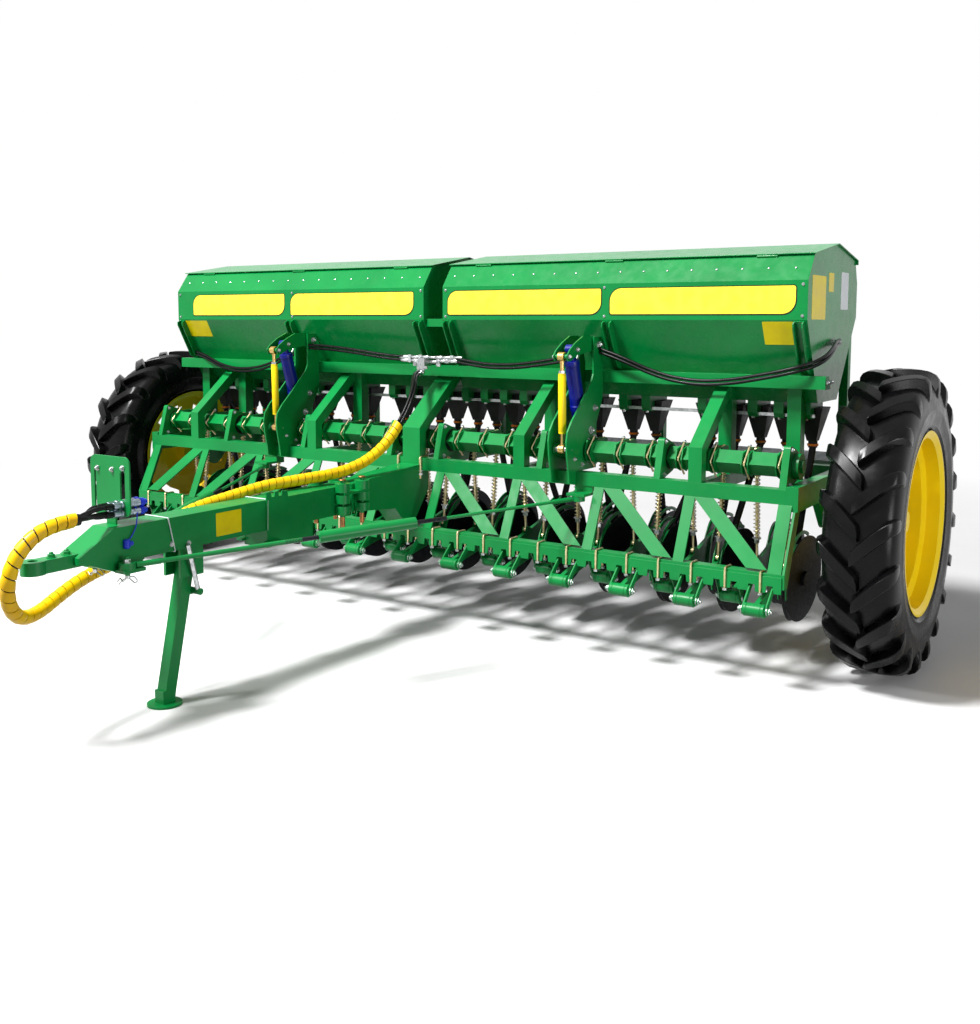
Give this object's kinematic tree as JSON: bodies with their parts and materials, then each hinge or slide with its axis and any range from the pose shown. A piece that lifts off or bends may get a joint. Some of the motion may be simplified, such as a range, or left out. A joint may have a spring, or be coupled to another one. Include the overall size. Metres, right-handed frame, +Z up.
{
  "type": "seed drill",
  "caption": "Trailed grain drill with a long twin-lidded hopper, double-disc openers on sprung arms, a hydraulic lift shaft, lugged tyres, a drawbar and a jack leg",
  "frame": {"origin": "on the ground under the middle of the machine's outer sizes, hoses left out", "axes": "+X to the machine's right-hand wheel as seen in the picture, +Y to the rear (away from the hitch), +Z up"},
  "size_m": [4.711, 3.5213, 1.8247],
  "materials": {
    "green_paint": "satin",
    "green_sheet": "gloss",
    "rim_yellow": "satin",
    "turnbuckle_yellow": "satin",
    "cylinder_blue": "gloss",
    "tyre": "matte",
    "yellow_zinc": "satin",
    "zinc": "satin",
    "bright_rod": "polished",
    "disc_steel": "satin",
    "black_plastic": "matte",
    "black_rubber": "matte",
    "yellow_sleeve": "matte",
    "galvanised": "matte"
  },
  "bodies": {
    "chassis": {"main_beam": "green_paint", "lower_beam": "green_paint", "truss_web": "green_paint", "side_frames": "green_paint", "rear_beam": "green_paint", "cross_members": "green_paint", "hopper_supports": "green_paint", "footboard": "galvanised", "hopper_straps": "green_sheet", "hopper_fronts": "green_sheet", "hopper_rears": "green_sheet", "hopper_ends": "green_sheet", "feed_units": "green_paint", "feed_shaft": "zinc", "seed_funnels": "black_plastic", "seed_tubes_front": "black_rubber", "seed_tubes_rear": "black_rubber", "opener_brackets": "green_paint", "lower_clamps": "yellow_zinc", "shaft_bearings": "green_paint", "lift_towers": "green_paint", "tower_pins": "zinc", "drawbar_front": "green_paint", "drawbar_rear": "green_paint", "hitch_tongue": "green_paint", "hose_rack": "green_paint", "stays": "green_paint", "hose_fittings": "zinc", "hose_bundle": "yellow_sleeve", "hose_feed": "black_rubber", "hose_left_inner": "black_rubber", "hose_left_outer": "black_rubber", "hose_right_inner": "black_rubber", "hose_right_outer": "black_rubber", "hose_couplings": "black_rubber"},
    "wheel_left": {"tyre_left": "tyre", "rim_left": "rim_yellow"},
    "wheel_right": {"tyre_right": "tyre", "rim_right": "rim_yellow"},
    "lid_left": {"lid_left": "green_sheet"},
    "lid_right": {"lid_right": "green_sheet"},
    "stand": {"stand_leg": "green_paint", "stand_strut": "zinc"},
    "rockshaft": {"rockshaft": "green_paint", "cranks": "green_paint", "shaft_bushes": "black_plastic", "rockshaft_forks": "green_paint", "rockshaft_clamps": "yellow_zinc"},
    "gang_front": {"openers_front": "green_paint", "discs_front": "disc_steel"},
    "gang_rear": {"openers_rear": "green_paint", "discs_rear": "disc_steel"},
    "spring_rods_front": {"spring_rods_front": "yellow_zinc", "springs_front": "yellow_zinc"},
    "spring_rods_rear": {"spring_rods_rear": "yellow_zinc", "springs_rear": "yellow_zinc"},
    "rockers": {"rockers": "green_paint"},
    "turnbuckles": {"turnbuckles": "turnbuckle_yellow"},
    "cylinder_barrels": {"cylinder_barrels": "cylinder_blue"},
    "cylinder_rods": {"cylinder_rods": "bright_rod"}
  },
  "joints": [
    {"name": "wheel_left_spin", "type": "hinge", "parent": "chassis", "child": "wheel_left", "pos_m": [-2.2055, 0.87, 0.6425], "axis": [1, 0, 0], "continuous": true},
    {"name": "wheel_right_spin", "type": "hinge", "parent": "chassis", "child": "wheel_right", "pos_m": [2.2055, 0.87, 0.6425], "axis": [1, 0, 0], "continuous": true},
    {"name": "lid_left_hinge", "type": "hinge", "parent": "chassis", "child": "lid_left", "pos_m": [-0.98, 0.671, 1.752], "axis": [1, 0, 0], "range_deg": [0, 95]},
    {"name": "lid_right_hinge", "type": "hinge", "parent": "chassis", "child": "lid_right", "pos_m": [0.98, 0.671, 1.752], "axis": [1, 0, 0], "range_deg": [0, 95]},
    {"name": "stand_fold", "type": "hinge", "parent": "chassis", "child": "stand", "pos_m": [0, -1.015, 0.545], "axis": [1, 0, 0], "range_deg": [0, 90]},
    {"name": "rockshaft_turn", "type": "hinge", "parent": "chassis", "child": "rockshaft", "pos_m": [0, 0.535, 0.885], "axis": [-1, 0, 0], "range_deg": [0, 37]},
    {"name": "gang_front_swing", "type": "hinge", "parent": "chassis", "child": "gang_front", "pos_m": [0, 0.235, 0.342], "axis": [-1, 0, 0], "range_deg": [0, 12.5], "deforming": ["seed_tubes_front"]},
    {"name": "gang_rear_swing", "type": "hinge", "parent": "chassis", "child": "gang_rear", "pos_m": [0, 0.37, 0.35], "axis": [-1, 0, 0], "range_deg": [0, 14.8], "deforming": ["seed_tubes_rear"]},
    {"name": "spring_rods_front_pin", "type": "hinge", "parent": "gang_front", "child": "spring_rods_front", "pos_m": [0, 0.59, 0.452], "axis": [1, 0, 0], "range_deg": [0, 13.3]},
    {"name": "spring_rods_rear_pin", "type": "hinge", "parent": "gang_rear", "child": "spring_rods_rear", "pos_m": [0, 0.67, 0.452], "axis": [1, 0, 0], "range_deg": [0, 15.5]},
    {"name": "rocker_pivot", "type": "hinge", "parent": "chassis", "child": "rockers", "pos_m": [0, 0.62, 1.37], "axis": [-1, 0, 0], "range_deg": [0, 20.8]},
    {"name": "turnbuckle_pin", "type": "hinge", "parent": "rockers", "child": "turnbuckles", "pos_m": [0, 0.366, 1.319], "axis": [1, 0, 0], "range_deg": [0, 26.6]},
    {"name": "cylinder_pin", "type": "hinge", "parent": "rockers", "child": "cylinder_barrels", "pos_m": [0, 0.439, 1.35], "axis": [1, 0, 0], "range_deg": [0, 18.2]},
    {"name": "cylinder_stroke", "type": "slide", "parent": "cylinder_barrels", "child": "cylinder_rods", "axis": [0, 0.2819, -0.9594], "range_m": [0, 0.063]}
  ],
  "couplings": [
    {"joint": "gang_front_swing", "follows": "rockshaft_turn", "ratio": 0.335},
    {"joint": "gang_rear_swing", "follows": "rockshaft_turn", "ratio": 0.397},
    {"joint": "spring_rods_front_pin", "follows": "rockshaft_turn", "ratio": 0.3537},
    {"joint": "spring_rods_rear_pin", "follows": "rockshaft_turn", "ratio": 0.4141},
    {"joint": "rocker_pivot", "follows": "rockshaft_turn", "ratio": 0.5497},
    {"joint": "turnbuckle_pin", "follows": "rockshaft_turn", "ratio": 0.7107},
    {"joint": "cylinder_pin", "follows": "rockshaft_turn", "ratio": 0.4774},
    {"joint": "cylinder_stroke", "follows": "rockshaft_turn", "m_per_rad": 0.09515}
  ]
}
